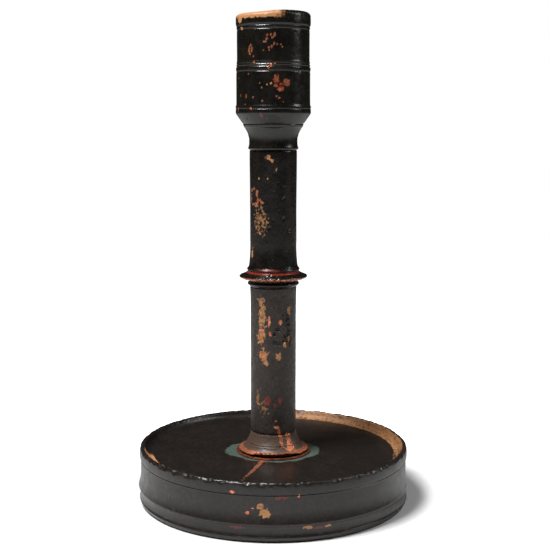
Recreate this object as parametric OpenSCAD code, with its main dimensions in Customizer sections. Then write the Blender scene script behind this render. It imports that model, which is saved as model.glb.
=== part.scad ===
// Cast candlestick with a drum base, a two-part round stem and a cylindrical candle socket.
// The castings are threaded on a wrought tie rod, and one wedge under the base draws them tight.
// The origin is at the middle of the face that the base rests on, +Z is up, and sizes are in mm.

/* [Drum base] */
// Height of the drum from its resting face to the top of its rim
drum_h = 30.4; // [26:0.1:36]
// Radius of the band under the rim
rim_r = 72.6; // [60:0.1:90]
// Thickness of the drum's upright wall
skirt_wall = 3.8; // [3:0.1:6]
// Thickness of the pan's floor
pan_t = 3.6; // [3:0.1:5]
// Depth of the pan's middle below the top of the rim
pan_depth = 4.9; // [3.5:0.1:6]
// Rise of the pan's floor from the stem to the foot of its rim
pan_dish = 0.8; // [0.4:0.1:1.5]
// Width of the rim over its rounded top
rim_w = 3.4; // [2.5:0.1:5]
// Distance from the top of the rim down to the turned groove
groove_drop = 6.4; // [5:0.1:8]
// Depth of the turned groove
groove_depth = 0.6; // [0.3:0.1:1]
// Height of the sharp ridge round the lower wall
ridge_z = 9.2; // [8:0.1:12]
// How far the ridge stands out past the band under the rim
ridge_out = 0.8; // [0.4:0.1:2]
// How far the wall between groove and ridge is drawn in behind the band
wall_in = 0.5; // [0.2:0.1:1.5]
// Height of the bead round the bottom edge
toe_z = 2.6; // [2:0.1:4]
// How far the bottom edge is cut back where the drum meets the table
toe_in = 1.4; // [0.5:0.1:3]
// Radius of the boss under the pan
boss_r = 15; // [14:0.5:20]
// Height of the boss under the pan
boss_h = 3; // [2:0.1:4]

/* [Registers] */
// Radius of the turned spigots that centre the castings on each other
spigot_r = 8.5; // [7.5:0.1:8.9]
// Length of each spigot
spigot_l = 6; // [4:0.5:8]
// Radial clearance of each spigot in its bore
spigot_gap = 0.1; // [0.05:0.05:0.3]

/* [Seat ring] */
// Outer radius of the copper ring under the stem's foot
seat_r = 20.2; // [19.5:0.1:24]
// Thickness of the seat ring
seat_t = 1.1; // [0.8:0.1:2]

/* [Lower stem] */
// Length of the lower stem with its foot
lower_l = 90; // [70:0.5:120]
// Radius of the lower stem
lower_r = 12.4; // [12:0.1:13]
// Radius of the stem's foot at its lip
foot_r = 19; // [17.5:0.1:19.4]
// Radius of the foot's bearing face on the seat ring
bearing_r = 16.5; // [14:0.1:17]
// Height of the foot's flare
flare_h = 10.7; // [9:0.1:14]
// Gap under the foot's lip, outside its bearing face
lip_lift = 0.6; // [0.3:0.1:1]
// Height of the fine line that divides the flare
flare_line_z = 4.7; // [4:0.1:5.5]
// Radius of the flare at that line
flare_line_r = 14.7; // [14.2:0.1:15.2]

/* [Middle ring] */
// Height of the middle ring between the two stems
ring_h = 10.5; // [9.5:0.1:14]
// Radius of the ring's sharp flange
flange_r = 18.2; // [16:0.1:22]
// Radius of the small ring under the flange
cushion_r = 13.8; // [13.3:0.1:15]
// Radius of the bead above the flange
bead_r = 14.1; // [13.6:0.1:15]

/* [Upper stem] */
// Length of the upper stem
upper_l = 61.8; // [50:0.2:90]
// Radius of the upper stem at its middle
upper_r = 12.35; // [12:0.05:12.6]
// How far the upper stem spreads at its lower end
upper_flare = 1; // [0.5:0.1:1.2]

/* [Candle socket] */
// Height of the socket with its shoulder and neck
socket_h = 71.1; // [60:0.1:90]
// Radius of the candle's bore
bore_r = 15.2; // [12:0.1:16]
// Depth of the candle's bore
bore_l = 50; // [35:0.5:60]
// Radius of the socket at its bottom band
band_r = 19.8; // [19.4:0.1:22]
// Height of the shoulder's sharp edge above the neck's joint
shoulder_z = 19.3; // [18.5:0.1:21]
// Radius of the neck at its narrowest
neck_r = 12.85; // [12.6:0.05:13.2]
// Height of the middle moulding above the neck's joint
moulding_z = 42.3; // [38:0.1:48]
// Radius of the socket's lip
lip_r = 19.6; // [19.4:0.1:21]

/* [Tie rod] */
// Radius of the wrought rod through the castings
rod_r = 4; // [3:0.1:4.5]
// Radial clearance of the rod in its holes
rod_gap = 0.1; // [0.05:0.05:0.5]
// Radius of the rod's forged head
head_r = 7; // [6:0.1:9]
// Thickness of the rod's forged head
head_t = 3; // [2:0.1:4]
// Clearance round and over the head in its seat
head_gap = 0.2; // [0.1:0.05:0.5]
// Length of the rod's end below its slot
tail_l = 3.4; // [2.5:0.1:4]

/* [Rove and wedge] */
// Radius of the iron washer under the boss
rove_r = 12.5; // [10:0.5:14]
// Thickness of that washer
rove_t = 2; // [1.5:0.1:3]
// Length of the wedge
wedge_l = 36; // [28:1:44]
// Thickness of the wedge
wedge_t = 2.8; // [2:0.1:3]
// Depth of the wedge where it passes the rod's axis
wedge_d = 7.4; // [6:0.1:8]
// Taper of the wedge over its length
wedge_taper = 2.4; // [1:0.1:3]
// Clearance beside the wedge in the rod's slot
slot_gap = 0.1; // [0.05:0.05:0.3]
// Room left in the slot above the wedge, for driving it tight
draw_room = 1.4; // [0.8:0.1:1.8]

/* [Hidden] */
$fn = 128;

// Heights of the joints, from the table up
pan_z = drum_h - pan_depth;
boss_z = pan_z - pan_t - boss_h;
seat_z = pan_z + seat_t;
ring_z = seat_z + lower_l;
upper_z = ring_z + ring_h;
socket_z = upper_z + upper_l;
total_h = socket_z + socket_h;
bore_floor_z = total_h - bore_l;

// Bores and holes that the spigots, the rod and its head fit
stem_bore_r = spigot_r + spigot_gap;
rod_hole_r = rod_r + rod_gap;
head_seat_r = head_r + head_gap;
head_seat_z = bore_floor_z - head_t - head_gap;
rod_end_z = boss_z - rove_t - wedge_d - tail_l;

// Small features of the drum
rim_inner_r = rim_r - rim_w;
groove_z = drum_h - groove_drop;
groove_w = 0.7;
ridge_r = rim_r + ridge_out;
wall_r = rim_r - wall_in;
toe_r = rim_r + 0.3;
cove_w = 2.6;
cavity_r = wall_r - skirt_wall;
cavity_top_z = pan_z - pan_t;
cavity_fillet = 2.5;
pan_edge_z = pan_z + pan_dish;
seat_margin = 3;

// Small features of the stem, the ring and the socket
line_w = 0.5;
line_depth = 0.25;
collar_h = 1.8;
collar_out = 0.12;
collar_fade = 4;
end_swell_l = 6;
end_swell = 0.2;
end_round = 0.5;
joint_groove = 0.3;
moulding_r = band_r - 0.2;
body_r = band_r - 0.4;
upper_body_r = band_r - 0.75;
lip_h = 9.4;
lip_round = 2.6;
mouth_chamfer = 0.8;

// Points along a curve from p to q that bows out by s at its middle, to the left of its travel
function bow(p, q, s, steps = 8) = [
    for (i = [0 : steps])
        let (
            t = i / steps,
            along = q - p,
            side = [-along[1], along[0]] / norm(along)
        )
        p + along * t + side * (4 * s * t * (1 - t))
];

// Points along a round arc about c, from angle a to angle b
function arc(c, r, a, b, steps = 8) = [
    for (i = [0 : steps])
        let (angle = a + (b - a) * i / steps)
        c + r * [cos(angle), sin(angle)]
];

// A V-shaped turned line in an upright wall of radius r, read upwards
function turned_line(r, z, w = line_w, d = line_depth) = [
    [r, z - w / 2],
    [r - d, z],
    [r, z + w / 2]
];

// Outline of the drum's outside, from the table up to the rim
function drum_outside() = concat(
    [[toe_r - toe_in, 0], [toe_r - 0.35 * toe_in, 0.45 * toe_z]],
    arc([toe_r - 0.6, toe_z], 0.6, -50, 60, 5),
    bow([toe_r - 0.5, toe_z + 0.9], [ridge_r - 0.9, ridge_z - 1.1], 0.35, 6),
    [[ridge_r - 0.15, ridge_z - 0.35], [ridge_r, ridge_z], [ridge_r - 0.12, ridge_z + 0.5]],
    bow([ridge_r - 0.35, ridge_z + 1.1], [wall_r, ridge_z + 7], 0.2, 6),
    [
        [wall_r + 0.05, groove_z - groove_w],
        [rim_r - 0.25, groove_z - groove_w / 2],
        [rim_r - groove_depth, groove_z],
        [rim_r - 0.15, groove_z + groove_w / 2]
    ],
    bow([rim_r, groove_z + groove_w], [rim_r - 0.1, drum_h - 1.5], -0.12, 4),
    arc([rim_r - 1.6, drum_h - 1.5], 1.5, 0, 90, 6)
);

// Outline of the pan's inside, from the rim's top in to the foot of the rim
function pan_inside() = concat(
    [[rim_inner_r + 0.9, drum_h - 0.25]],
    bow([rim_inner_r + 0.3, drum_h - 0.8], [rim_inner_r - cove_w, pan_edge_z], 0.6, 8)
);

// Outline of the hollow under the pan, from its top down to the table
function drum_cavity() = concat(
    arc(
        [cavity_r - cavity_fillet, cavity_top_z - cavity_fillet],
        cavity_fillet, 90, 0, 6
    ),
    [[cavity_r, 0]]
);

// Outline of the stem's foot from its bearing face up to the plain stem
function foot_outside() = concat(
    [[bearing_r, 0], [bearing_r + 0.5, lip_lift], [foot_r - 0.3, lip_lift]],
    arc([foot_r - 0.4, lip_lift + 0.4], 0.4, -70, 60, 4),
    bow([foot_r - 0.9, lip_lift + 0.8], [flare_line_r + 0.15, flare_line_z - 0.25], 0.5, 7),
    [[flare_line_r - line_depth, flare_line_z]],
    bow([flare_line_r - 0.1, flare_line_z + 0.3], [lower_r + 0.05, flare_h - 0.6], 0.3, 8),
    [
        [lower_r - joint_groove, flare_h],
        [lower_r - joint_groove, flare_h + 0.3],
        [lower_r + collar_out, flare_h + 0.8],
        [lower_r + collar_out, flare_h + collar_h],
        [lower_r, flare_h + collar_h + collar_fade]
    ]
);

// Outline of the middle ring, from its lower joint up to its upper one
function ring_outside() = concat(
    [[lower_r + 0.2, 0], [cushion_r - 0.9, 0.5]],
    arc([cushion_r - 0.9, 1.5], 0.9, -80, 80, 8),
    [
        [cushion_r - 1.3, 2.6],
        [cushion_r - 1.4, 3.4],
        [flange_r - 1.6, 4.1]
    ],
    arc([flange_r - 0.75, 5.35], 0.75, -62, 70, 6),
    bow([flange_r - 0.9, 6.2], [bead_r + 0.3, 7.6], 0.15, 5),
    [[bead_r - 0.3, 7.8], [bead_r - 0.3, 8.4]],
    arc([bead_r - 0.8, 9.25], 0.8, -70, 75, 7),
    [[upper_r + upper_flare, ring_h]]
);

// Outline of the socket's neck and shoulder, from the joint up to the shoulder's sharp edge
function neck_outside() = concat(
    [[neck_r - 0.35, 0], [neck_r - 0.2, 0.25]],
    arc([neck_r - 0.15, 1.2], 0.7, -70, 80, 7),
    bow([neck_r, 2.3], [neck_r + 1.95, 11.3], 0.95, 9),
    [
        [neck_r + 2.0, 11.7],
        [neck_r + 2.6, 12.0],
        [neck_r + 3.1, 13.3],
        [neck_r + 2.95, 13.7],
        [neck_r + 3.5, 14.1],
        [band_r - 0.3, shoulder_z - 0.7]
    ],
    [[band_r, shoulder_z]]
);

// Outline of the socket's body, from the shoulder's sharp edge up to the lip
function body_outside() = concat(
    turned_line(band_r, shoulder_z + 2.1),
    [[band_r, shoulder_z + 3.4], [body_r + 0.05, shoulder_z + 4.3]],
    turned_line(body_r, moulding_z - 1.8),
    [
        [moulding_r - 0.15, moulding_z - 1.3],
        [moulding_r, moulding_z],
        [moulding_r - 0.1, moulding_z + 0.4],
        [upper_body_r + 0.1, moulding_z + 0.7]
    ],
    arc([upper_body_r - 0.15, moulding_z + 1.45], 0.5, -60, 60, 6),
    [
        [upper_body_r, moulding_z + 2.2],
        [upper_body_r + 0.2, moulding_z + 2.6],
        [upper_body_r + 0.2, moulding_z + 3.2],
        [upper_body_r, moulding_z + 3.6]
    ],
    turned_line(upper_body_r, socket_h - lip_h),
    turned_line(upper_body_r + 0.2, socket_h - lip_h + 1.8),
    [[lip_r - 0.05, socket_h - lip_h + 2.9], [lip_r, socket_h - lip_h + 4.6]],
    arc([lip_r - lip_round, socket_h - lip_round], lip_round, 10, 80, 8),
    [[lip_r - lip_round - 0.2, socket_h]]
);

// An upright round hole from height z
module hole(r, z, h) {
    translate([0, 0, z])
        cylinder(r = r, h = h);
}

// A turned spigot on the axis
module spigot(z) {
    translate([0, 0, z])
        cylinder(r = spigot_r, h = spigot_l);
}

// The drum: a shallow drip pan and its upright skirt in one hollow casting
module drum_base() {
    color("#40362f")
        difference() {
            union() {
                rotate_extrude()
                    polygon(concat(
                        drum_outside(),
                        pan_inside(),
                        [
                            [seat_r + seat_margin, pan_z],
                            [0, pan_z],
                            [0, cavity_top_z]
                        ],
                        drum_cavity()
                    ));
                translate([0, 0, boss_z])
                    cylinder(r = boss_r, h = boss_h);
                translate([0, 0, pan_z])
                    cylinder(r = spigot_r, h = seat_t + spigot_l);
            }
            hole(rod_hole_r, boss_z - 1, seat_z + spigot_l - boss_z + 2);
        }
}

// The thin copper ring between the pan and the stem's foot
module seat_ring() {
    color("#b5714a")
        translate([0, 0, pan_z])
            difference() {
                cylinder(r = seat_r, h = seat_t);
                hole(stem_bore_r, -1, seat_t + 2);
            }
}

// The lower stem, cast hollow with its flared foot
module lower_stem() {
    color("#4b3d33")
        translate([0, 0, seat_z])
            difference() {
                rotate_extrude()
                    polygon(concat(
                        [[0, 0]],
                        foot_outside(),
                        [
                            [lower_r, lower_l - end_swell_l],
                            [lower_r + end_swell, lower_l - end_round],
                            [lower_r, lower_l],
                            [0, lower_l]
                        ]
                    ));
                hole(stem_bore_r, -1, lower_l + 2);
            }
}

// The turned ring between the stems, with a spigot above and below
module mid_ring() {
    color("#2c2320")
        difference() {
            union() {
                translate([0, 0, ring_z])
                    rotate_extrude()
                        polygon(concat([[0, 0]], ring_outside(), [[0, ring_h]]));
                spigot(ring_z - spigot_l);
                spigot(ring_z + ring_h);
            }
            hole(rod_hole_r, ring_z - spigot_l - 1, ring_h + 2 * spigot_l + 2);
        }
}

// The upper stem, a plain hollow casting that spreads at its lower end
module upper_stem() {
    color("#1d1a18")
        translate([0, 0, upper_z])
            difference() {
                rotate_extrude()
                    polygon(concat(
                        [[0, 0], [upper_r + upper_flare, 0]],
                        bow([upper_r + 0.7, 0.9], [upper_r + 0.05, 13], 0.22, 7),
                        [
                            [upper_r, upper_l / 2],
                            [upper_r + end_swell, upper_l - end_swell_l],
                            [upper_r + end_swell, upper_l - end_round],
                            [upper_r - 0.15, upper_l],
                            [0, upper_l]
                        ]
                    ));
                hole(stem_bore_r, -1, upper_l + 2);
            }
}

// The candle socket with its shoulder, neck and lower spigot, bored for the candle
module candle_socket() {
    color("#23201b")
        difference() {
            union() {
                translate([0, 0, socket_z])
                    rotate_extrude()
                        polygon(concat(
                            [[0, 0]],
                            neck_outside(),
                            body_outside(),
                            [[0, socket_h]]
                        ));
                spigot(socket_z - spigot_l);
            }
            hole(bore_r, bore_floor_z, bore_l + 1);
            hole(head_seat_r, head_seat_z, head_t + head_gap + 1);
            hole(rod_hole_r, socket_z - spigot_l - 1, socket_h);
            translate([0, 0, total_h - mouth_chamfer])
                cylinder(r1 = bore_r, r2 = bore_r + 2 * mouth_chamfer, h = 2 * mouth_chamfer);
        }
}

// The wedge's outline seen from the side, with its level top edge at z = 0
module wedge_outline(l, room = 0) {
    slope = wedge_taper / wedge_l;
    polygon([
        [-l / 2, room],
        [-l / 2, -wedge_d - slope * l / 2],
        [l / 2, -wedge_d + slope * l / 2],
        [l / 2, room]
    ]);
}

// The wrought tie rod, with a forged head above and a slot for the wedge below
module tie_rod() {
    color("#35302d")
        difference() {
            union() {
                translate([0, 0, rod_end_z])
                    cylinder(r = rod_r, h = head_seat_z - rod_end_z);
                translate([0, 0, head_seat_z])
                    cylinder(r = head_r, h = head_t);
            }
            translate([0, wedge_t / 2 + slot_gap, boss_z - rove_t])
                rotate([90, 0, 0])
                    linear_extrude(wedge_t + 2 * slot_gap)
                        wedge_outline(4 * rod_r, draw_room);
        }
}

// The iron washer that the wedge draws up against the boss
module rove() {
    color("#4a4139")
        translate([0, 0, boss_z - rove_t])
            difference() {
                cylinder(r = rove_r, h = rove_t);
                hole(rod_hole_r, -1, rove_t + 2);
            }
}

// The tapered iron wedge through the rod's slot
module forelock_wedge() {
    color("#574a3e")
        translate([0, wedge_t / 2, boss_z - rove_t])
            rotate([90, 0, 0])
                linear_extrude(wedge_t)
                    wedge_outline(wedge_l);
}

drum_base();
seat_ring();
lower_stem();
mid_ring();
upper_stem();
candle_socket();
tie_rod();
rove();
forelock_wedge();
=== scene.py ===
"""The looks of an old cast bronze candlestick, built round its solids.

Outlines come from the turned solids themselves. Lengths are in millimetres until a mesh is made.
An angle round the axis is in degrees from the front (-Y), and grows towards the right (+X).
"""

import math

import bpy
import numpy as np
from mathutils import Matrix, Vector, kdtree, noise


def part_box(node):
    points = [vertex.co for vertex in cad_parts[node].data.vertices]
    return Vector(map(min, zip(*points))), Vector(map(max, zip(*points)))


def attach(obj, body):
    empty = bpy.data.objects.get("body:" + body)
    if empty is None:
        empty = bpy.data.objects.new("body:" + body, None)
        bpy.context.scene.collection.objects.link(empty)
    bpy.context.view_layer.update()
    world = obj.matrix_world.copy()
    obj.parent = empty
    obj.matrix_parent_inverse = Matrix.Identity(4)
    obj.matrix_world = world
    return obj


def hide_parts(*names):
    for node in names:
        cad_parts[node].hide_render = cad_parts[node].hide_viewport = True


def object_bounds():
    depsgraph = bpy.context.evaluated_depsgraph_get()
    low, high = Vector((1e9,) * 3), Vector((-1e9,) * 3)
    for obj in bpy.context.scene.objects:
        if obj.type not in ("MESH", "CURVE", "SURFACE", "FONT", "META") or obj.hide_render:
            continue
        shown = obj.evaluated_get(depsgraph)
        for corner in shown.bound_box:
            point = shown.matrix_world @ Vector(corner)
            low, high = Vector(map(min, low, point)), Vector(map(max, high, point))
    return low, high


MM = 0.001

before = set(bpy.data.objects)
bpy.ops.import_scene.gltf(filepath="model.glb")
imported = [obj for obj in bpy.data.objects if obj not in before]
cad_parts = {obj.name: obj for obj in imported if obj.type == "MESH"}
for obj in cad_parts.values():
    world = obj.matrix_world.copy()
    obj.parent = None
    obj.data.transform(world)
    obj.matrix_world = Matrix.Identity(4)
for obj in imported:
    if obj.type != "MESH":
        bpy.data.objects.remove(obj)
cad_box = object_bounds()


def span(node):
    """Lowest and highest point of a CAD node above the table."""
    low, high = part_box(node)
    return low.z / MM, high.z / MM


# Heights of the joints
TABLE_Z, TOP_Z = (corner.z / MM for corner in cad_box)
FOOT_Z, RING_Z = span("lower_stem")
SOCKET_Z = span("upper_stem")[1]

# Radii and heights that the marks of wear go by
RIM_Z = 30.4
RIM_EDGE_R = 71.9
RIM_INNER_R = 68
WALL_R = 70
RIDGE_Z = 9.2
PAN_Z = 22
BORE_R = 15.2
INNER_R = 9

# Hidden rings are this many times as far apart, and this many for each radian of a turn
HIDDEN_STEP = 8
HIDDEN_PER_TURN = 0.5


# Outlines


def outline(node):
    """A turned node's closed outline as rows of radius and height, with the metal on its left."""
    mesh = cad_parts[node].data
    seam = {}
    for v in mesh.vertices:
        if abs(v.co.y) < 1e-7 and v.co.x > 0:
            seam[v.index] = (round(v.co.x / MM, 3), round(v.co.z / MM, 3))
    links = {}
    for edge in mesh.edges:
        a, b = (seam.get(i) for i in edge.vertices)
        if a and b and a != b:
            links.setdefault(a, set()).add(b)
            links.setdefault(b, set()).add(a)
    # A flat face has no edge on the seam, so its two ends are joined across it
    ends = sorted((p for p in links if len(links[p]) == 1), key=lambda p: (p[1], p[0]))
    for a, b in zip(ends[::2], ends[1::2]):
        links[a].add(b)
        links[b].add(a)
    loop = [min(links)]
    rest = sorted(links[loop[0]])[0]
    while rest != loop[0]:
        loop.append(rest)
        rest = next(p for p in links[rest] if p != loop[-2])
    points = np.array(loop)
    after = np.roll(points, -1, 0)
    area = np.sum(points[:, 0] * after[:, 1] - after[:, 0] * points[:, 1])
    return points if area > 0 else points[::-1]


def spaced(points, step, soften, hidden, per_turn=2.5, grain=0.05):
    """The outline's rings: softened corners, a ring each step, more where it turns, few where hidden."""
    closed = np.vstack([points, points[:1]])
    along = np.r_[0, np.cumsum(np.hypot(*np.diff(closed, axis=0).T))]
    count = int(along[-1] / grain)
    at = np.arange(count) * along[-1] / count
    dense = np.column_stack([np.interp(at, along, closed[:, k]) for k in (0, 1)])
    reach = int(3 * soften / grain)
    weights = np.exp(-0.5 * (np.arange(-reach, reach + 1) * grain / soften) ** 2)
    weights /= weights.sum()
    padded = np.vstack([dense[-reach:], dense, dense[:reach]])
    dense = np.column_stack([np.convolve(padded[:, k], weights, "valid") for k in (0, 1)])
    heading = np.roll(dense, -1, 0) - np.roll(dense, 1, 0)
    turned = np.unwrap(np.arctan2(heading[:, 1], heading[:, 0]))
    turn = np.abs(np.diff(np.r_[turned, turned[0] + 2 * math.pi]))
    unseen = hidden(dense[:, 0], dense[:, 1])
    rings_here = grain / np.where(unseen, HIDDEN_STEP * step, step)
    rings_here += np.where(unseen, HIDDEN_PER_TURN, per_turn) * turn
    total = np.cumsum(rings_here)
    wanted = np.searchsorted(total, np.arange(int(total[-1])) + 0.5)
    normal = np.column_stack([heading[:, 1], -heading[:, 0]])
    normal /= np.linalg.norm(normal, axis=1)[:, None]
    return dense[wanted], normal[wanted], unseen[wanted]


def ease(value, low, high):
    """0 below low, 1 above high, and a smooth step between."""
    t = np.clip((value - low) / (high - low), 0, 1)
    return t * t * (3 - 2 * t)


def field(points, size, seed, octaves=2):
    """Smooth noise of about -1 to 1 at points in mm, with features of that size."""
    shift = Vector((seed * 17.3, seed * 5.1, seed * 9.7))
    return np.array([
        noise.fractal(Vector(p) + shift, 0.8, 2.1, octaves) for p in points / size
    ])


def swell(points, size, seed, octaves=2):
    """Smooth noise of about 0 to 1 at points in mm."""
    return 0.5 + 0.5 * field(points, size, seed, octaves)


# Turned pieces


class Turned:
    """A turned piece as rings of points, which marks push in and tint before the mesh is made."""

    # The dark dirt tint also serves as painted shade on the seat ring, where the foot covers it
    TINTS = ("bare", "tan", "red", "green", "worn", "grime_and_shade")
    FRAY_SIZE = 1.3
    FRAY_SEEDS = (11, 12)

    def __init__(self, node, around, step, soften=0.12, hidden=lambda r, z: r < INNER_R, coarse=8):
        self.node = node
        rings, normals, unseen = spaced(outline(node), step, soften, hidden)
        self.counts = np.where(unseen, around // coarse, around)
        self.r, self.z = (np.repeat(rings[:, k], self.counts) for k in (0, 1))
        self.nr, self.nz = (np.repeat(normals[:, k], self.counts) for k in (0, 1))
        self.shown = np.repeat(~unseen, self.counts)
        self.angle = np.concatenate([np.arange(n) * 2 * math.pi / n for n in self.counts])
        self.tints = {name: np.zeros(len(self.r)) for name in self.TINTS}
        self.places = self.points()
        self.fray = [field(self.places, self.FRAY_SIZE, seed) for seed in self.FRAY_SEEDS]
        self.tree = None

    def points(self):
        """Every point's place in mm."""
        return np.column_stack([self.r * np.sin(self.angle), -self.r * np.cos(self.angle), self.z])

    def near(self, angle):
        """1 at that angle round the axis, falling to -1 on the far side."""
        return np.cos(self.angle - math.radians(angle))

    def push(self, depth):
        """Moves every point into the metal by its depth."""
        self.r = self.r - depth * self.nr
        self.z = self.z - depth * self.nz

    def sink(self, where, depth):
        """Moves the points where the test holds into the metal."""
        self.push(np.where(where, depth, 0))

    def spot(self, angle, z, wide, high, lean=0, ragged=0.35):
        """1 at a place on an upright wall, falling to 0 at the edge of a ragged oval round it."""
        gap = (self.angle - math.radians(angle) + math.pi) % (2 * math.pi) - math.pi
        across = gap * self.r + ragged * wide * self.fray[0]
        up = self.places[:, 2] - z + ragged * high * self.fray[1]
        c, s = math.cos(math.radians(lean)), math.sin(math.radians(lean))
        far = ((across * c - up * s) / wide) ** 2 + ((across * s + up * c) / high) ** 2
        looks_out = self.nr > -0.3
        return np.clip(1 - far, 0, 1) * self.shown * looks_out

    def dent(self, hollows, steep, grime_and_shade=0.0, **shape):
        """Pushes in an oval at each (angle, height, half width, half height, depth)."""
        for angle, z, wide, high, depth in hollows:
            mark = ease(self.spot(angle, z, wide, high, **shape), *steep)
            self.push(depth * mark)
            self.cover("grime_and_shade", True, grime_and_shade * mark)

    def stain(self, tint, spots, strength=1.0, **shape):
        """Tints an oval at each (angle, height, half width, half height)."""
        for angle, z, wide, high in spots:
            mark = strength * ease(self.spot(angle, z, wide, high, **shape), 0, 0.5)
            self.tints[tint] = np.maximum(self.tints[tint], mark)

    def cover(self, tint, where, strength):
        """Tints the points where the test holds."""
        self.tints[tint] = np.maximum(self.tints[tint], np.where(where, strength, 0))

    def pit(self, centre, radius, depth, tint=None, strength=1.0):
        """A small round hollow about a point of the surface."""
        if self.tree is None:
            self.tree = kdtree.KDTree(len(self.places))
            for i, p in enumerate(self.places):
                self.tree.insert(p, i)
            self.tree.balance()
            self.hollow = np.zeros(len(self.places))
        for _, i, far in self.tree.find_range(centre, radius):
            share = (1 - (far / radius) ** 2) ** 2
            self.hollow[i] = max(self.hollow[i], depth * share)
            if tint:
                self.tints[tint][i] = max(self.tints[tint][i], strength * min(1, 2 * share))

    def scatter_pits(self, rng, count, sizes, depth, where, tint=None, strength=1.0):
        """Pits at random points of the surface where the given test holds."""
        found = np.flatnonzero(where)
        for i in rng.choice(found, count):
            radius = rng.uniform(*sizes)
            share = strength * rng.uniform(0.4, 1)
            self.pit(self.places[i], radius, depth * radius, tint, share)

    def press_pits(self):
        """Pushes in all the pits made so far."""
        if self.tree is not None:
            self.push(self.hollow)
            self.tree = None

    def faces(self):
        """Corner lists of the quads between like rings and of the triangles where the count changes."""
        quads, triangles = [], []
        starts = np.r_[0, np.cumsum(self.counts)]
        for k, count in enumerate(self.counts):
            follow = (k + 1) % len(self.counts)
            other = self.counts[follow]
            a = starts[k] + np.arange(count)
            b = starts[follow] + np.arange(other)
            if count == other:
                quads.append(np.column_stack([a, np.roll(a, -1), np.roll(b, -1), b]))
            elif count > other:
                triangles += fan(a, b, False)
            else:
                triangles += fan(b, a, True)
        return np.vstack(quads), np.vstack(triangles) if triangles else np.empty((0, 3), int)

    def piece(self, name, slot, material):
        """Makes the mesh, with its tints as attributes, in place of the CAD node."""
        quads, triangles = self.faces()
        mesh = bpy.data.meshes.new(name)
        mesh.vertices.add(len(self.r))
        mesh.vertices.foreach_set("co", (self.points() * MM).ravel())
        corners = np.r_[quads.ravel(), triangles.ravel()]
        mesh.loops.add(len(corners))
        mesh.loops.foreach_set("vertex_index", corners)
        sides = np.r_[np.full(len(quads), 4), np.full(len(triangles), 3)]
        mesh.polygons.add(len(sides))
        mesh.polygons.foreach_set("loop_start", np.r_[0, np.cumsum(sides)[:-1]])
        mesh.polygons.foreach_set("use_smooth", np.ones(len(sides), bool))
        mesh.update(calc_edges=True)
        for tint, values in self.tints.items():
            store = mesh.attributes.new(tint, "FLOAT", "POINT")
            store.data.foreach_set("value", values.astype(np.float32))
        return dress(mesh, name, material, self.node)


def fan(fine, coarse, flip):
    """Triangles between a ring and one with fewer points."""
    share = len(fine) // len(coarse)
    made = []
    for j, c in enumerate(coarse):
        d = coarse[(j + 1) % len(coarse)]
        run = [fine[(j * share + i) % len(fine)] for i in range(share + 1)]
        middle = share // 2
        made += [(run[i], run[i + 1], c if i < middle else d) for i in range(share)]
        made.append((run[middle], d, c))
    return [t[::-1] for t in made] if flip else made


def dress(mesh, name, material, node):
    """An object of the mesh that stands for a CAD node and rides on the body."""
    piece = bpy.data.objects.new(name, mesh)
    bpy.context.scene.collection.objects.link(piece)
    mesh.materials.append(material)
    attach(piece, "root")
    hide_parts(node)
    return piece


def forged(node, name, material, voxel, depth, seed):
    """A hammered copy of a CAD node: its corners rounded, and its faces dented inwards."""
    source = bpy.data.objects.new(name + "_blank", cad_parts[node].data.copy())
    bpy.context.scene.collection.objects.link(source)
    remesh = source.modifiers.new("Even faces", "REMESH")
    remesh.mode = "VOXEL"
    remesh.voxel_size = voxel * MM
    smooth = source.modifiers.new("Worn corners", "SMOOTH")
    smooth.iterations = 2
    shaped = source.evaluated_get(bpy.context.evaluated_depsgraph_get())
    mesh = bpy.data.meshes.new_from_object(shaped)
    bpy.data.objects.remove(source)
    mesh.materials.clear()
    count = len(mesh.vertices)
    points, normals = np.empty(count * 3), np.empty(count * 3)
    mesh.vertices.foreach_get("co", points)
    mesh.vertex_normals.foreach_get("vector", normals)
    points, normals = points.reshape(-1, 3) / MM, normals.reshape(-1, 3)
    dents = swell(points, 4.5, seed, 1) + 0.3 * field(points, 1.1, seed + 1)
    points -= normals * (depth * np.clip(dents, 0, None))[:, None]
    mesh.vertices.foreach_set("co", (points * MM).ravel())
    mesh.polygons.foreach_set("use_smooth", np.ones(len(mesh.polygons), bool))
    for tint in Turned.TINTS:
        mesh.attributes.new(tint, "FLOAT", "POINT")
    worn = mesh.attributes["worn"]
    worn.data.foreach_set("value", ease(field(points, 5, seed + 2), 0.1, 0.7).astype(np.float32))
    return dress(mesh, name, material, node)


# Materials


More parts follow.
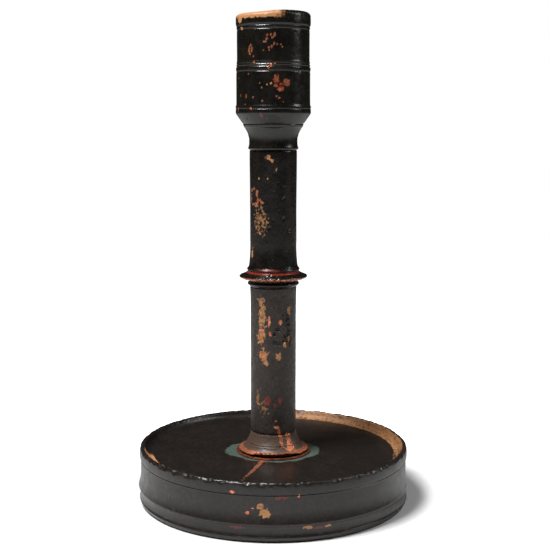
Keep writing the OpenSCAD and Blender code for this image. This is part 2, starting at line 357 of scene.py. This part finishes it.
class Shader:
    """A material's node tree, with short calls for the nodes that the finishes need."""

    def __init__(self, name):
        self.material = bpy.data.materials.new(name)
        self.material.use_nodes = True
        self.tree = self.material.node_tree
        self.surface = self.tree.nodes["Principled BSDF"]
        self.place = self.add("ShaderNodeTexCoord").outputs["Object"]

    def add(self, kind, inputs=(), **settings):
        node = self.tree.nodes.new(kind)
        for key, value in settings.items():
            setattr(node, key, value)
        for key, value in dict(inputs).items():
            self.feed(node.inputs[key], value)
        return node

    def feed(self, socket, value):
        if isinstance(value, bpy.types.NodeSocket):
            self.tree.links.new(value, socket)
        elif isinstance(value, tuple) and len(value) == 3 and socket.type == "RGBA":
            socket.default_value = (*value, 1)
        else:
            socket.default_value = value

    def set(self, socket, value):
        self.feed(self.surface.inputs[socket], value)

    def noise(self, size, detail, rough=0.55, warp=0.0):
        """Noise with features of that size in mm."""
        inputs = {
            "Vector": self.place,
            "Scale": 0.5 / (size * MM),
            "Detail": detail,
            "Roughness": rough,
            "Distortion": warp,
        }
        return self.add("ShaderNodeTexNoise", inputs).outputs["Fac"]

    def math(self, operation, a, b):
        return self.add("ShaderNodeMath", {0: a, 1: b}, operation=operation).outputs[0]

    def between(self, value, low, high, to_low=0.0, to_high=1.0):
        """The value's smooth step from low to high, as a number between the last two."""
        inputs = {"Value": value, 1: low, 2: high, 3: to_low, 4: to_high}
        return self.add("ShaderNodeMapRange", inputs, interpolation_type="SMOOTHSTEP").outputs[0]

    def mix(self, share, a, b):
        node = self.add("ShaderNodeMix", data_type="RGBA")
        self.feed(node.inputs["Factor"], share)
        self.feed(node.inputs[6], a)
        self.feed(node.inputs[7], b)
        return node.outputs[2]

    def tint(self, name, size=0.7, edge=0.25):
        """A tint of the mesh with its edge broken up by noise."""
        mask = self.add("ShaderNodeAttribute", attribute_name=name).outputs["Fac"]
        ragged = self.math("SUBTRACT", self.noise(size, 4, 0.65), 0.5)
        shifted = self.math("ADD", mask, self.math("MULTIPLY", ragged, 1.3))
        inside = self.between(shifted, 0.5 - edge, 0.5 + edge)
        return self.math("MULTIPLY", inside, self.between(mask, 0.0, 0.2))

    def bump(self, height, strength, distance=0.3, under=None):
        inputs = {"Height": height, "Strength": strength, "Distance": distance * MM}
        if under:
            inputs["Normal"] = under
        return self.add("ShaderNodeBump", inputs).outputs["Normal"]


# Colours, linear
BARE_COPPER = (0.62, 0.17, 0.06)
PINK_COPPER = (0.80, 0.36, 0.24)
BRIGHT_COPPER = (0.72, 0.27, 0.14)
RED_OXIDE = (0.16, 0.035, 0.018)
TAN = (0.30, 0.14, 0.055)
CUPRITE = (0.20, 0.022, 0.012)
VERDIGRIS = (0.10, 0.15, 0.12)
# Near black: dirt, and painted shade on the seat ring where the foot covers it
GRIME_AND_SHADE = (0.006, 0.005, 0.004)
IRON_SCALE = (0.022, 0.019, 0.017)
RUST = (0.085, 0.036, 0.018)
RUBBED_IRON = (0.12, 0.11, 0.10)


def patina(name, dark, warm, rough, spread, grain, grain_size):
    """Bronze under an old patina, with bare copper, tan wear, cuprite and verdigris where tinted; the tan
    tint also carries a painted sheen on the upper stem.
    """
    s = Shader(name)
    clouds = s.noise(9, 4, 0.6, 0.6)
    specks = s.noise(0.9, 5, 0.7)
    colour = s.mix(s.between(clouds, 0.35, 0.7), dark, warm)
    deeper = tuple(0.45 * c for c in dark)
    colour = s.mix(s.between(specks, 0.62, 0.42, 0.0, 0.75), colour, deeper)
    worn = s.tint("worn", 0.6, 0.3)
    lighter = tuple(2.6 * c for c in warm)
    colour = s.mix(s.math("MULTIPLY", worn, 0.7), colour, lighter)
    grime_and_shade = s.tint("grime_and_shade", 1.2, 0.35)
    colour = s.mix(s.math("MULTIPLY", grime_and_shade, 0.85), colour, GRIME_AND_SHADE)
    tan = s.tint("tan", 0.8, 0.2)
    colour = s.mix(tan, colour, s.mix(specks, TAN, tuple(1.9 * c for c in TAN)))
    red = s.tint("red", 0.6, 0.25)
    colour = s.mix(red, colour, CUPRITE)
    green = s.tint("green", 0.9, 0.35)
    colour = s.mix(s.math("MULTIPLY", green, 0.6), colour, VERDIGRIS)
    bare = s.tint("bare", 0.5, 0.15)
    colour = s.mix(bare, colour, s.mix(s.between(specks, 0.45, 0.62), BARE_COPPER, PINK_COPPER))
    s.set("Base Color", colour)
    s.set("Metallic", s.math("MULTIPLY", bare, 0.75))
    even = s.between(s.noise(2.5, 4, 0.6), 0.3, 0.7, rough - spread, rough + spread)
    dull = s.math("MULTIPLY", s.math("MAXIMUM", tan, green), 0.25)
    s.set("Roughness", s.math("ADD", even, dull))
    fine = s.bump(s.noise(grain_size, 5, 0.65), grain, 0.12)
    s.set("Normal", s.bump(s.math("MAXIMUM", bare, tan), 0.35, 0.08, fine))
    return s.material


def worn_copper(name):
    """The bare seat ring: bright copper lumps with red oxide and dark dirt between them, and painted shade
    where the foot covers it.
    """
    s = Shader(name)
    lumps = s.noise(0.8, 5, 0.7)
    colour = s.mix(s.between(lumps, 0.42, 0.6), RED_OXIDE, BRIGHT_COPPER)
    colour = s.mix(s.math("MULTIPLY", s.tint("green", 0.9, 0.3), 0.85), colour, VERDIGRIS)
    colour = s.mix(s.tint("grime_and_shade", 0.8, 0.3), colour, GRIME_AND_SHADE)
    s.set("Base Color", colour)
    s.set("Metallic", s.between(lumps, 0.35, 0.6, 0.3, 1.0))
    s.set("Roughness", s.between(s.noise(1.2, 4), 0.3, 0.7, 0.25, 0.5))
    s.set("Normal", s.bump(lumps, 0.6, 0.25))
    return s.material


def browned_iron(name):
    """Forged iron with scale and brown rust."""
    s = Shader(name)
    scale = s.noise(2.2, 5, 0.65, 0.4)
    rust = s.between(scale, 0.45, 0.65)
    colour = s.mix(rust, IRON_SCALE, RUST)
    colour = s.mix(s.math("MULTIPLY", s.tint("worn"), 0.6), colour, RUBBED_IRON)
    s.set("Base Color", colour)
    s.set("Metallic", s.between(rust, 0, 1, 0.5, 0.0))
    s.set("Roughness", s.between(rust, 0, 1, 0.45, 0.8))
    s.set("Normal", s.bump(s.noise(0.6, 5, 0.7), 0.5, 0.15))
    return s.material


# Pieces


def chip_drum(d, p, wall, floor):
    """Wears the drum's wall and rim, roughens its underside and pits its edges."""
    rng = np.random.default_rng(7)
    ceiling_z, skirt_z, toe_z = 10, 21, 3.6
    rim = d.shown & (d.z > RIM_Z - 1.6) & (d.r > RIM_INNER_R)
    ceiling = d.shown & (d.nz < -0.5) & (d.z > ceiling_z)
    skirt = d.shown & (d.nr < -0.5) & (d.z < skirt_z)
    d.push(np.where(wall, 0.16, 0.07) * swell(p, 26, 1) * d.shown)
    d.sink(ceiling | skirt, 0.35 * swell(p, 5, 2, 3))
    d.sink(rim, 0.22 * ease(field(p, 3.2, 3), -0.2, 0.8))
    edge = d.shown & (np.abs(d.r - RIM_EDGE_R) < 0.8) & (d.z > RIM_Z - 0.9)
    d.places = d.points()
    d.scatter_pits(rng, 210, (0.4, 1.3), 0.42, edge, "worn", 0.8)
    d.scatter_pits(rng, 60, (1.0, 2.0), 0.3, edge, "grime_and_shade", 0.9)
    d.scatter_pits(rng, 150, (0.35, 1.0), 0.3, wall, "grime_and_shade", 0.7)
    d.scatter_pits(rng, 40, (0.3, 0.7), 0.25, wall, "worn", 0.9)
    d.scatter_pits(rng, 140, (0.4, 1.0), 0.35, wall & (d.z < toe_z), "worn", 0.6)
    d.scatter_pits(rng, 26, (0.3, 0.7), 0.2, floor, "worn", 0.8)
    d.press_pits()


def stain_drum(d):
    """Copper, tan, red and dark marks at the drum's front."""
    d.stain("bare", [(-10, 15.1, 1.6, 1.0), (-8, 17.5, 0.9, 0.7)], 0.75)
    d.stain("bare", [(10, 23.3, 0.7, 1.2), (-16, 25.1, 1.6, 1.1)], 0.75)
    d.stain("tan", [(-3, 15.0, 3.4, 2.6), (-5, 18.5, 2.4, 1.6)], 0.7)
    d.stain("tan", [(14, 7.4, 3.0, 1.2), (22, 7.2, 2.0, 0.9)], 0.7)
    d.stain("red", [(18, 6.8, 3.5, 1.1), (3, 22.8, 4.0, 1.4), (-14, 7.5, 5.0, 1.0)], 0.5)
    d.stain("grime_and_shade", [(-40, 16, 1.2, 2.2), (30, 17, 1.2, 1.6)], 0.8)
    d.stain("grime_and_shade", [(47, 25, 1.4, 1.4), (19, 22.4, 1.3, 0.6)], 0.8)


def stain_pan(d, p, floor):
    """Verdigris on the pan's floor round the seat ring, and tan wear inside the rim."""
    halo_r, cove_in, cove_out, cove_z = 32, 65, 70.2, 26
    floor_r = np.hypot(p[:, 0], p[:, 1])
    reach = 22.2 + 1.6 * field(p, 7, 5) + 3.0 * ease(np.abs(np.sin(d.angle)), 0.75, 1.0)
    d.cover("green", floor & (floor_r < halo_r), 1.1 * ease(reach - floor_r, -1.6, 1.2))
    cove = d.shown & (d.r > cove_in) & (d.r < cove_out) & (d.z > cove_z)
    streak = 0.95 * ease(d.near(-57), 0.86, 0.97)
    behind = 0.62 * ease(d.near(128), 0.2, 0.9)
    d.cover("tan", cove, np.maximum(streak, behind))


def drum(material):
    """The drip pan and its wall, with a chipped rim, a softened ridge and a rough cast underside."""
    foot_r, under_foot_z = 17, 15

    def hidden(r, z):
        return (r < foot_r) & (z > under_foot_z)

    d = Turned("drum_base", 640, 0.6, 0.16, hidden)
    p = d.places
    wall = d.shown & (d.nr > 0.5) & (d.r > WALL_R)
    floor = d.shown & (d.nz > 0.7) & (d.z > PAN_Z)
    chip_drum(d, p, wall, floor)
    stain_drum(d)
    stain_pan(d, p, floor)
    d.cover("worn", wall & (np.abs(d.z - RIDGE_Z) < 0.7), 0.45)
    return d.piece("drum", "pan_bronze", material)


def seat(material):
    """The copper ring, worn and beaten thin at its edge, painted near black as painted shade where the foot
    covers it.
    """
    s = Turned("seat_ring", 480, 0.22, 0.2)
    p = s.places
    edge_r, covered_r = 17, 18.4
    edge = s.shown & (s.r > edge_r)
    s.sink(edge, (0.22 * (0.6 + 0.6 * field(p, 1.6, 21, 3))).clip(0))
    s.cover("green", edge, ease(-s.nz + 0.3 * field(p, 2, 22), 0.1, 0.9))
    # Painted shade: near black where the foot covers the ring, in the gap under the lip; further out,
    # scattered dark spots of dirt
    s.cover("grime_and_shade", True, np.where(s.r < covered_r, 1.0, 0.3 * (field(p, 3, 23) > 0.2)))
    return s.piece("seat", "seat_copper", material)


# The flaw in the lower stem: overlapping hollows on the right of the front
FLAW = (
    (37, 104.5, 2.6, 2.6, 0.9),
    (31, 99.5, 2.9, 3.8, 1.2),
    (40, 94.0, 2.2, 4.4, 1.3),
    (33, 89.5, 3.0, 2.4, 1.5),
    (12, 94.5, 1.3, 1.1, 0.9),
    (3, 92.0, 0.9, 1.0, 1.0),
    (8, 87.2, 2.8, 1.6, 0.6),
    (46, 88.5, 1.2, 2.4, 0.8),
)


def stain_lower_stem(m):
    """Mottled tan wear at the left, with copper, red and dark marks."""
    m.stain("tan", [(-29, 102, 2.6, 7.5), (-33, 91, 2.8, 5.0), (-26, 81, 3.4, 3.6)], 0.62, ragged=0.7)
    m.stain("tan", [(-20, 77, 2.0, 2.2), (-32, 110, 2.4, 2.6)], 0.62, ragged=0.7)
    m.stain("tan", [(45, 104.5, 1.0, 3.0), (30, 86.2, 1.2, 2.0), (46, 89, 0.9, 2.0), (14, 80, 2.4, 2.6)], 0.7)
    m.stain("tan", [(-42, 57, 2.0, 6.0), (-24, 52, 2.4, 5.0)], 0.45, ragged=0.8)
    m.stain("bare", [(-10, 98.9, 0.9, 3.6), (19, 98.5, 1.3, 1.8), (-35, 90, 1.6, 0.9)], 0.72)
    m.stain("bare", [(-30, 94.0, 2.2, 1.2), (-8, 92.5, 1.0, 1.8), (-29, 80.5, 1.8, 1.6)], 0.62)
    m.stain("red", [(17, 56.1, 1.4, 2.2), (4, 53.5, 1.0, 1.6), (-14, 56, 2.0, 3.0)], 0.6)
    m.stain("grime_and_shade", [(8, 46.3, 3.4, 2.4), (14, 43.5, 2.6, 1.6)], 0.9)
    m.stain("bare", [(8, 41.6, 1.9, 1.1), (6, 45.0, 0.8, 0.6)], 0.75)


def rub_foot(m):
    """Rubs the foot's flare to a coppery brown, brightest down its right front."""
    flare_top, lip_top = FOOT_Z + 10.4, FOOT_Z + 2.2
    outside = m.shown & (m.nr > 0)
    m.cover("worn", outside & (m.z < flare_top), 0.75)
    m.stain("bare", [(14, 38.6, 0.9, 2.6), (19, 34.6, 1.1, 3.0)], 1.0)
    m.stain("bare", [(38, 34.6, 2.2, 4.0), (36, 30.4, 4.0, 2.0), (50, 27.9, 3.0, 1.2)], 0.66, ragged=0.7)
    m.cover("bare", outside & (m.z < lip_top), 0.56)


def ragged_lip(m):
    """Cuts the foot's lip back from the seat ring in a torn gap, widest at the front."""
    low, band, lip_r = FOOT_Z + 0.6, 2.5, 16.7
    deepest, limit = 1.5, 1.8
    front = m.near(4)
    lift = deepest * ease(front, 0.62, 0.98) + 0.35 * m.fray[0] * ease(front, 0.3, 0.8)
    outside = m.shown & (m.r > lip_r) & (m.z < low + band)
    m.z = np.where(outside, np.maximum(m.z, low + np.clip(lift, 0, limit)), m.z)


def lower_stem(material):
    """The matt lower stem, with its casting flaw, mottled wear and copper-coloured foot."""
    m = Turned("lower_stem", 256, 0.36, 0.14)
    p = m.places
    rng = np.random.default_rng(3)
    foot_top = FOOT_Z + 12
    wall = m.shown & (m.nr > 0.3)
    m.sink(wall, 0.10 * swell(p, 14, 31))
    m.sink(wall, 0.07 * np.clip(field(p, 1.6, 32, 3) + 0.3, 0, 1))
    m.dent(FLAW, (0.02, 0.55), 0.75, lean=10, ragged=0.45)
    # Lumps of scale on the right edge, which other wear leaves standing
    m.sink(wall, 0.12 * (1 - m.spot(75, 69, 2.5, 5)))
    m.places = m.points()
    m.scatter_pits(rng, 260, (0.3, 0.9), 0.28, wall & (m.z > foot_top), "grime_and_shade", 0.6)
    m.scatter_pits(rng, 90, (0.3, 0.8), 0.3, wall & (m.z < foot_top), "grime_and_shade", 0.7)
    m.press_pits()
    stain_lower_stem(m)
    rub_foot(m)
    ragged_lip(m)
    return m.piece("lower_column", "stem_bronze", material)


def middle_ring(material):
    """The turned ring, with a dented flange that is rubbed bright along its lower edge."""
    m = Turned("mid_ring", 320, 0.3, 0.1)
    p = m.places
    flange_r, edge_z = 15, RING_Z + 3.6
    fillet_low, fillet_high, bead_z = RING_Z + 7.4, RING_Z + 8.6, RING_Z + 9.6
    flange = m.shown & (m.r > flange_r)
    m.sink(flange, 0.3 * ease(field(p, 2.4, 41, 3), -0.1, 0.7))
    m.sink(m.shown, 0.05 * swell(p, 4, 42))
    m.places = m.points()
    rng = np.random.default_rng(5)
    m.scatter_pits(rng, 40, (0.4, 1.2), 0.35, flange & (m.nz > 0))
    m.press_pits()
    m.cover("bare", flange & (m.nz < 0.1) & (m.z > edge_z), 0.55)
    m.cover("red", m.shown & (m.z > fillet_low) & (m.z < fillet_high), 0.8)
    m.cover("red", True, 0.6 * m.spot(-15, bead_z, 9, 1.5))
    return m.piece("middle_ring", "dark_bronze", material)


# Dints in the upper stem: angle, height, half width, half height and depth
DINTS = (
    (27, 163.8, 0.8, 1.6, 0.22),
    (26, 153.1, 0.9, 1.5, 0.2),
    (-10, 148.5, 0.8, 1.4, 0.15),
    (44, 146.8, 0.7, 0.9, 0.3),
    (28, 169.5, 0.5, 0.6, 0.15),
    (2, 167.5, 0.6, 0.8, 0.12),
)


def scratch(u):
    """A long scratch in the upper stem, which curves down to the left."""
    steps = 22
    for i in range(steps):
        t = i / (steps - 1)
        mark = u.spot(57 - 24 * t - 4 * t * t, 157.7 - 13 * t, 0.35, 0.7, 20, 0.1)
        u.push(0.09 * mark)


def stain_upper_stem(u):
    """A hook of bare copper at the left, small copper flecks and tan wear, and a broad tan patch at the left
    that is a warm tone with a painted sheen of the key light.
    """
    u.stain("bare", [(-66, 168.3, 1.0, 1.4), (-55, 169.0, 1.5, 0.9)], 0.95, ragged=0.45)
    u.stain("bare", [(-44, 166.5, 0.9, 2.4), (-41, 162.8, 0.9, 2.2)], 0.95, ragged=0.45)
    u.stain("bare", [(-48, 160.6, 1.6, 1.5), (-68, 163.5, 0.7, 3.6)], 0.95, ragged=0.45)
    u.stain("bare", [(-60, 160.9, 1.0, 0.8)], 0.95, ragged=0.45)
    u.stain("bare", [(-29, 161.9, 1.1, 0.9), (-34, 163.2, 0.7, 0.8), (-62, 137.6, 0.8, 0.6)], 0.9)
    u.stain("tan", [(-64, 134.6, 1.0, 2.4), (-14, 174.3, 0.5, 0.6), (-37, 174.4, 0.6, 0.9)], 0.8)
    u.stain("tan", [(8, 179.4, 0.5, 1.6), (-14, 185.4, 1.8, 1.6), (-4, 184.0, 1.2, 1.6)], 0.6, ragged=0.6)
    # Painted highlight: a broad faint tan patch at the left, where the key light's sheen falls on the glossy
    # stem, over a warm tone
    u.stain("tan", [(-34, 152, 5.5, 10)], 0.42, ragged=0.5)


def upper_stem(material):
    """The glossy upper stem, scratched, dinted and worn to copper at the left."""
    u = Turned("upper_stem", 224, 0.42, 0.14)
    p = u.places
    rng = np.random.default_rng(9)
    wall = u.shown & (u.nr > 0.3)
    u.sink(wall, 0.09 * swell(p, 16, 51))
    u.sink(wall, 0.03 * swell(p, 2.2, 52, 3))
    u.dent(DINTS, (0, 0.7), lean=20, ragged=0.2)
    scratch(u)
    u.places = u.points()
    u.scatter_pits(rng, 90, (0.3, 0.7), 0.25, wall, "grime_and_shade", 0.3)
    u.press_pits()
    stain_upper_stem(u)
    return u.piece("upper_column", "dark_bronze", material)


# Dents in the socket's neck and shoulder: angle, height, half width, half height and depth
NECK_DENTS = (
    (7, 194.6, 1.6, 1.0, 0.5),
    (-34, 197.4, 1.6, 1.8, 0.25),
    (-48, 205.4, 0.7, 0.6, 0.3),
)


# Flecks on the socket: angle, height, half width and half height.
# Pink and orange ones lie in a cluster high on the front.
HIGH_FLECKS = (
    (-9, 247.2, 0.75, 0.7),
    (-4, 247.5, 0.6, 0.7),
    (2, 247.4, 0.7, 1.3),
    (-1, 245.9, 0.8, 0.5),
    (-10, 245.3, 0.8, 0.6),
    (-13, 243.9, 1.4, 0.5),
    (1, 243.1, 0.5, 1.0),
    (6, 242.7, 0.6, 0.4),
    (12, 242.5, 0.5, 0.6),
    (14, 241.3, 0.4, 0.4),
    (-2, 242.0, 0.8, 0.4),
    (-7, 241.0, 0.6, 0.6),
    (-2, 241.2, 0.6, 0.8),
    (-6, 239.8, 0.5, 0.6),
    (-15, 239.6, 0.5, 0.4),
    (-40, 240.0, 0.7, 2.4),
    (-35, 240.3, 0.7, 1.6),
    (-39, 237.9, 0.8, 0.5),
    (-37, 242.5, 0.5, 0.6),
    (-32, 236.8, 0.4, 0.4),
    (-31, 233.8, 0.6, 0.7),
    (3, 233.1, 0.4, 0.5),
    (-3, 232.4, 0.6, 1.2),
    (-7, 231.0, 0.5, 1.1),
)

# Larger orange-red ones lie under the middle moulding.
LOW_FLECKS = (
    (5, 225.4, 1.6, 2.0),
    (4, 222.0, 1.3, 0.9),
    (20, 224.3, 1.8, 1.3),
    (22, 222.6, 1.3, 1.0),
    (11, 222.8, 0.7, 0.6),
    (15, 220.5, 0.6, 0.6),
    (10, 220.2, 1.0, 1.1),
    (5, 216.5, 0.5, 0.4),
    (9, 215.9, 0.8, 0.6),
    (-21, 223.3, 0.5, 0.5),
    (-18, 221.0, 0.5, 0.6),
    (-41, 228.0, 0.5, 0.5),
    (-46, 216.8, 0.6, 1.3),
    (-32, 216.0, 0.5, 0.5),
    (-60, 217.2, 0.6, 0.7),
    (-67, 226.0, 0.5, 0.6),
    (-48, 212.6, 0.6, 0.4),
    (-36, 210.4, 0.6, 0.8),
    (-67, 210.0, 0.6, 1.3),
    (-17, 214.2, 0.5, 0.5),
    (15, 213.8, 0.4, 0.4),
)


def stain_socket(c, lip, inside):
    """Flecks of bare copper, red and tan marks, and the lip rubbed to the metal at the left front."""
    bead_top, bead_radians = SOCKET_Z + 2.0, -0.7
    rub_from, rub_full = TOP_Z - 4.6, TOP_Z - 3.2
    c.stain("bare", HIGH_FLECKS, 1.0, ragged=0.3)
    c.stain("bare", LOW_FLECKS, 0.95, ragged=0.35)
    c.stain("red", [(5, 225, 2.2, 2.6), (20, 223.5, 2.6, 2.0), (11, 220.5, 2.2, 1.6)], 0.8)
    c.stain("tan", [(-10, 222.4, 0.6, 0.5), (-3, 223.2, 0.8, 0.8)], 0.9)
    c.stain("tan", [(-62, 255.2, 2.4, 1.6), (-58, 251.0, 1.4, 1.0)], 0.9)
    c.stain("red", [(-19, 206.9, 1.0, 1.6), (-10, 205.6, 0.8, 0.5)], 0.6)
    c.stain("red", [(-34, 197.4, 2.2, 2.4), (7, 194, 3.0, 1.2)], 0.6)
    bead = c.shown & (c.z < bead_top) & (c.nr > 0.3)
    c.cover("tan", bead, 0.5 * ease(np.cos(c.angle - bead_radians), 0.7, 1))
    rubbed = ease(c.near(-32), 0.45, 0.9)
    above = ease(c.z + 0.8 * c.fray[0], rub_from, rub_full)
    c.cover("tan", lip, 0.85 * rubbed * above)
    # The inside of the bore is made dark all over
    c.cover("grime_and_shade", inside, 1.0)


def worn_lip(c):
    """Lowers the socket's lip on the left, where use has worn it."""
    from_z, worn = TOP_Z - 4.5, 0.24
    left = ease(c.near(-72), -0.1, 0.95)
    above = np.clip(c.z - from_z, 0, None)
    c.z = c.z - above * worn * left


def candle_socket(material):
    """The glossy socket, with a worn bright lip and flecks of bare copper."""
    floor_z, deep_z, body_z = TOP_Z - 45, TOP_Z - 30, SOCKET_Z + 18

    def hidden(r, z):
        return (r < INNER_R) & (z < floor_z) | (r < BORE_R + 0.1) & (z < deep_z)

    c = Turned("candle_socket", 320, 0.42, 0.12, hidden, 4)
    p = c.places
    rng = np.random.default_rng(4)
    wall = c.shown & (c.nr > 0.25)
    inside = c.shown & (c.nr < -0.3)
    c.sink(wall, 0.09 * swell(p, 15, 61))
    c.sink(wall, 0.035 * swell(p, 2.0, 62, 3))
    c.sink(inside, 0.2 * swell(p, 4, 63, 3) - 0.2)
    lip = c.shown & (c.z > TOP_Z - 4.5) & (c.nr > -0.2)
    c.sink(lip, 0.16 * ease(field(p, 2.6, 64), -0.1, 0.8))
    c.dent(NECK_DENTS, (0, 0.6), lean=-12, ragged=0.3)
    c.places = c.points()
    c.scatter_pits(rng, 170, (0.3, 0.8), 0.22, wall & (c.z > body_z), "grime_and_shade", 0.3)
    c.scatter_pits(rng, 60, (0.3, 0.6), 0.3, lip, "grime_and_shade", 0.4)
    c.press_pits()
    stain_socket(c, lip, inside)
    worn_lip(c)
    return c.piece("socket", "socket_bronze", material)


pan_bronze = patina(
    "pan_bronze",
    dark=(0.014, 0.0105, 0.0088),
    warm=(0.024, 0.016, 0.0125),
    rough=0.36,
    spread=0.05,
    grain=0.25,
    grain_size=0.5,
)
stem_bronze = patina(
    "stem_bronze",
    dark=(0.026, 0.018, 0.014),
    warm=(0.045, 0.028, 0.019),
    rough=0.46,
    spread=0.08,
    grain=0.7,
    grain_size=0.5,
)
dark_bronze = patina(
    "dark_bronze",
    dark=(0.0055, 0.0042, 0.003),
    warm=(0.016, 0.008, 0.0036),
    rough=0.27,
    spread=0.06,
    grain=0.35,
    grain_size=0.6,
)
socket_bronze = patina(
    "socket_bronze",
    dark=(0.0055, 0.0045, 0.003),
    warm=(0.012, 0.009, 0.0045),
    rough=0.27,
    spread=0.06,
    grain=0.4,
    grain_size=0.6,
)
seat_copper = worn_copper("seat_copper")
wrought_iron = browned_iron("wrought_iron")

drum(pan_bronze)
seat(seat_copper)
lower_stem(stem_bronze)
middle_ring(dark_bronze)
upper_stem(dark_bronze)
candle_socket(socket_bronze)
forged("tie_rod", "rod", wrought_iron, voxel=0.5, depth=0.25, seed=71)
forged("rove", "washer", wrought_iron, voxel=0.3, depth=0.25, seed=74)
forged("forelock_wedge", "wedge", wrought_iron, voxel=0.3, depth=0.2, seed=77)


# Studio, in metres and degrees, with the lens in millimetres

FLOOR_R = 1.3
FLOOR_SIDES = 96
FLOOR_DROP = 0.0001
SHADOW_R = 0.088
WHITE_R = 0.106
LIT_POINT = Vector((0, 0, 0.1))
CAMERA_LENS = 75.27
CAMERA_DOWN = 7.84
CAMERA_AT = (0.0009, -0.61025, 0.2063)


def soft_box(name, azimuth, elevation, distance, width, height, watts):
    """A soft box that faces the object from that direction."""
    lamp = bpy.data.lights.new(name, "AREA")
    lamp.shape = "RECTANGLE"
    lamp.size, lamp.size_y = width, height
    lamp.energy = watts
    box = bpy.data.objects.new(name, lamp)
    a, e = math.radians(azimuth), math.radians(elevation)
    toward = Vector((math.sin(a) * math.cos(e), -math.cos(a) * math.cos(e), math.sin(e)))
    box.location = LIT_POINT + distance * toward
    box.rotation_euler = toward.to_track_quat("Z", "Y").to_euler()
    box.visible_camera = False
    bpy.context.scene.collection.objects.link(box)


def white_floor():
    """A round white floor that keeps the drum's shadow and is plain white further out."""
    mesh = bpy.data.meshes.new("floor")
    turns = [2 * math.pi * i / FLOOR_SIDES for i in range(FLOOR_SIDES)]
    rim = [(FLOOR_R * math.cos(a), FLOOR_R * math.sin(a), 0) for a in turns]
    mesh.from_pydata(rim, [], [range(len(rim))])
    floor = bpy.data.objects.new("floor", mesh)
    floor.location.z = TABLE_Z * MM - FLOOR_DROP
    bpy.context.scene.collection.objects.link(floor)
    s = Shader("floor_white")
    path = s.add("ShaderNodeLightPath").outputs
    seen = s.math("MAXIMUM", path["Is Camera Ray"], path["Is Transmission Ray"])
    far = s.add("ShaderNodeVectorMath", {0: s.place}, operation="LENGTH").outputs["Value"]
    s.set("Base Color", (0.85, 0.85, 0.85))
    s.set("Roughness", 1.0)
    s.set("Specular IOR Level", 0.0)
    s.set("Emission Color", (1.0, 1.0, 1.0))
    beyond = s.between(far, SHADOW_R, WHITE_R)
    s.set("Emission Strength", s.math("MULTIPLY", seen, beyond))
    mesh.materials.append(s.material)


def studio_world():
    """White behind the object, with a dark studio round it for its reflections."""
    world = bpy.data.worlds.new("studio")
    bpy.context.scene.world = world
    world.use_nodes = True
    tree = world.node_tree
    back = tree.nodes["Background"]
    back.inputs["Color"].default_value = (1, 1, 1, 1)
    path = tree.nodes.new("ShaderNodeLightPath").outputs

    def blend(share, a, b):
        node = tree.nodes.new("ShaderNodeMix")
        tree.links.new(share, node.inputs[0])
        for socket, value in zip(node.inputs[2:4], (a, b)):
            if isinstance(value, float):
                socket.default_value = value
            else:
                tree.links.new(value, socket)
        return node.outputs[0]

    ambient, dark_room, white = 0.1, 0.03, 1.0
    strength = blend(path["Is Glossy Ray"], ambient, dark_room)
    strength = blend(path["Is Transmission Ray"], strength, white)
    strength = blend(path["Is Camera Ray"], strength, white)
    tree.links.new(strength, back.inputs["Strength"])


def set_camera():
    """The camera, level from side to side and looking a little down."""
    lens = bpy.data.cameras.new("camera")
    lens.lens = CAMERA_LENS
    lens.clip_start = 0.01
    camera = bpy.data.objects.new("camera", lens)
    camera.location = CAMERA_AT
    camera.rotation_euler = (math.radians(90 - CAMERA_DOWN), 0, 0)
    bpy.context.scene.collection.objects.link(camera)
    bpy.context.scene.camera = camera


white_floor()
studio_world()
soft_box("key_box", azimuth=-53, elevation=64, distance=0.95, width=0.3, height=0.24, watts=13)
soft_box("side_box", azimuth=84, elevation=34, distance=0.9, width=0.14, height=0.5, watts=2.2)
set_camera()
bpy.context.scene.view_settings.view_transform = "Standard"
